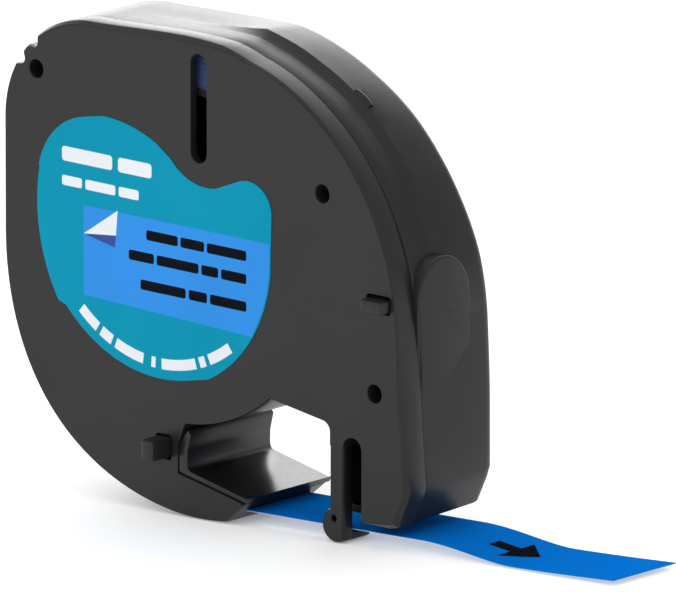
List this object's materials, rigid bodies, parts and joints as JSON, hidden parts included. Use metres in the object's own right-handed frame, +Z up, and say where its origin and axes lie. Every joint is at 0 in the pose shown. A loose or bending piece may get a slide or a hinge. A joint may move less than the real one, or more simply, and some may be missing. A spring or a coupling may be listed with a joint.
{
  "type": "label tape cassette",
  "caption": "Flat rounded plastic cassette with a wound roll of 12 mm label tape that crosses an open bay and leaves under a small hook",
  "frame": {"origin": "on the surface the cassette stands on, below the middle of the whole part's box, tape included", "axes": "+X along the tape, away from the case; +Y from the front face to the rear face; +Z up"},
  "size_m": [0.1, 0.0192, 0.063],
  "materials": {
    "case_plastic": "fine spark-eroded texture, near black",
    "guide_plastic": "smooth, polished",
    "label_print": "printed film label",
    "core_plastic": "moulded",
    "tape_film": "glossy coloured film",
    "backing_paper": "release paper"
  },
  "bodies": {
    "shell": {"front_cover": "case_plastic", "rear_case": "case_plastic", "exit_hook": "case_plastic", "face_lug_upper": "case_plastic", "face_lug_lower": "case_plastic", "spool_post": "case_plastic", "guide_post": "case_plastic", "join_pins": "case_plastic", "tape_guide_plate": "guide_plastic", "front_label": "label_print", "tape_lead": "tape_film"},
    "spool": {"spool_core": "core_plastic", "tape_roll": "tape_film"},
    "leader": {"strip_film": "tape_film", "strip_liner": "backing_paper"}
  },
  "joints": [
    {"name": "tape_feed", "type": "slide", "parent": "shell", "child": "leader", "axis": [1, 0, 0], "range_m": [0, 0.012]},
    {"name": "spool_spin", "type": "hinge", "parent": "shell", "child": "spool", "pos_m": [-0.02062, 0.0016, 0.03733], "axis": [0, 1, 0], "range_deg": [-30, 0.5]}
  ],
  "couplings": [
    {"joint": "spool_spin", "follows": "tape_feed", "rad_per_m": -42.373}
  ]
}
